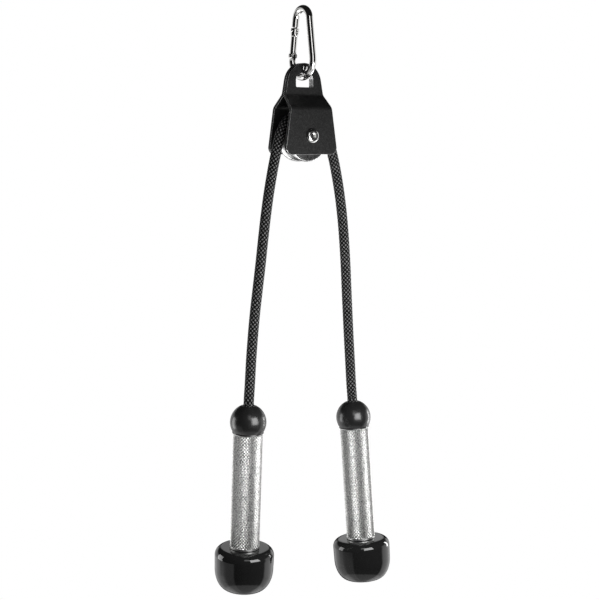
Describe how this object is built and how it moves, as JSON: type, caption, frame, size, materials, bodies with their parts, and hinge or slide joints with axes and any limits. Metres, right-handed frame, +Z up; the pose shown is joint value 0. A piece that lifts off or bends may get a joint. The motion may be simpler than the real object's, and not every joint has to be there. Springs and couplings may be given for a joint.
{
  "type": "cable handle",
  "caption": "Rope cable handle: a carabiner carries a two-plate pulley block, and a braided rope over its sheave ends in a ball stopper, knurled tube grip and domed end cap on each side.",
  "frame": {"origin": "inside top of the carabiner's bow, where the part hangs", "axes": "+Z up; X across the pulley block from the left handle to the right one; -Y is the block's front"},
  "size_m": [0.1892, 0.0749, 0.5691],
  "materials": {
    "polished_steel": "bright polished steel",
    "black_powder_coat": "fine-textured black powder coat, matt",
    "turned_aluminium": "fine-turned",
    "bearing_steel": "ground",
    "black_braid": "tightly braided black cord with light flecks",
    "satin_black_rubber": "satin",
    "gloss_black_rubber": "glossy moulded rubber",
    "knurled_chrome": "fine diamond knurl, chromed"
  },
  "bodies": {
    "carabiner": {"carabiner_body": "polished_steel", "gate_hinge_rivet": "polished_steel"},
    "gate": {"carabiner_gate": "polished_steel", "gate_latch_pin": "polished_steel", "gate_spring": "bearing_steel", "gate_plunger": "bearing_steel"},
    "pulley_block": {"front_cheek_plate": "black_powder_coat", "rear_cheek_plate": "black_powder_coat", "tab_rivet": "polished_steel", "axle_bolt": "polished_steel", "axle_nut": "polished_steel", "front_axle_spacer": "turned_aluminium", "rear_axle_spacer": "turned_aluminium", "bearing_inner_race": "bearing_steel", "rope_over_sheave": "black_braid"},
    "sheave": {"sheave": "turned_aluminium", "bearing_outer_race": "bearing_steel", "bearing_ball_1": "bearing_steel", "bearing_ball_2": "bearing_steel", "bearing_ball_3": "bearing_steel", "bearing_ball_4": "bearing_steel", "bearing_ball_5": "bearing_steel", "bearing_ball_6": "bearing_steel", "bearing_ball_7": "bearing_steel"},
    "left_leg": {"rope_left_leg": "black_braid"},
    "right_leg": {"rope_right_leg": "black_braid"},
    "left_handle": {"left_stop_ball": "satin_black_rubber", "left_end_cap": "gloss_black_rubber", "left_rope_end": "black_braid", "left_rope_washer": "polished_steel", "left_rope_ferrule": "turned_aluminium"},
    "right_handle": {"right_stop_ball": "satin_black_rubber", "right_end_cap": "gloss_black_rubber", "right_rope_end": "black_braid", "right_rope_washer": "polished_steel", "right_rope_ferrule": "turned_aluminium"},
    "left_grip": {"left_grip_tube": "knurled_chrome"},
    "right_grip": {"right_grip_tube": "knurled_chrome"}
  },
  "joints": [
    {"name": "gate_hinge", "type": "hinge", "parent": "carabiner", "child": "gate", "pos_m": [0, 0.01566, -0.03998], "axis": [1, 0, 0], "range_deg": [0, 25], "stiffness_Nm_per_rad": 0.15, "springref_deg": -28.65},
    {"name": "block_swing", "type": "hinge", "parent": "carabiner", "child": "pulley_block", "pos_m": [0, 0, -0.06025], "axis": [0, 1, 0], "range_deg": [-45, 45]},
    {"name": "sheave_turn", "type": "hinge", "parent": "pulley_block", "child": "sheave", "pos_m": [0, 0, -0.11527], "axis": [0, -1, 0], "range_deg": [-277, 277]},
    {"name": "left_leg_swing", "type": "hinge", "parent": "pulley_block", "child": "left_leg", "pos_m": [-0.031, 0, -0.13127], "axis": [0, 1, 0], "range_deg": [-5, 45], "stiffness_Nm_per_rad": 0.12, "springref_deg": 38.39, "deforming": ["rope_left_leg"]},
    {"name": "right_leg_swing", "type": "hinge", "parent": "pulley_block", "child": "right_leg", "pos_m": [0.0355, 0, -0.13127], "axis": [0, -1, 0], "range_deg": [-5, 45], "stiffness_Nm_per_rad": 0.12, "springref_deg": 35.52, "deforming": ["rope_right_leg"]},
    {"name": "left_rope_run", "type": "slide", "parent": "left_leg", "child": "left_handle", "axis": [0, 0, -1], "range_m": [-0.1, 0.1], "deforming": ["rope_left_leg"]},
    {"name": "right_rope_run", "type": "slide", "parent": "right_leg", "child": "right_handle", "axis": [0, 0, -1], "range_m": [-0.1, 0.1], "deforming": ["rope_right_leg"]},
    {"name": "left_grip_turn", "type": "hinge", "parent": "left_handle", "child": "left_grip", "pos_m": [-0.064, 0, -0.38387], "axis": [0.0035, -0.0541, 0.9985], "continuous": true},
    {"name": "right_grip_turn", "type": "hinge", "parent": "right_handle", "child": "right_grip", "pos_m": [0.064, 0, -0.39617], "axis": [-0.0261, 0.0732, 0.997], "continuous": true}
  ],
  "couplings": [
    {"joint": "right_rope_run", "follows": "left_rope_run", "ratio": -1},
    {"joint": "sheave_turn", "follows": "left_rope_run", "rad_per_m": 48.193}
  ]
}
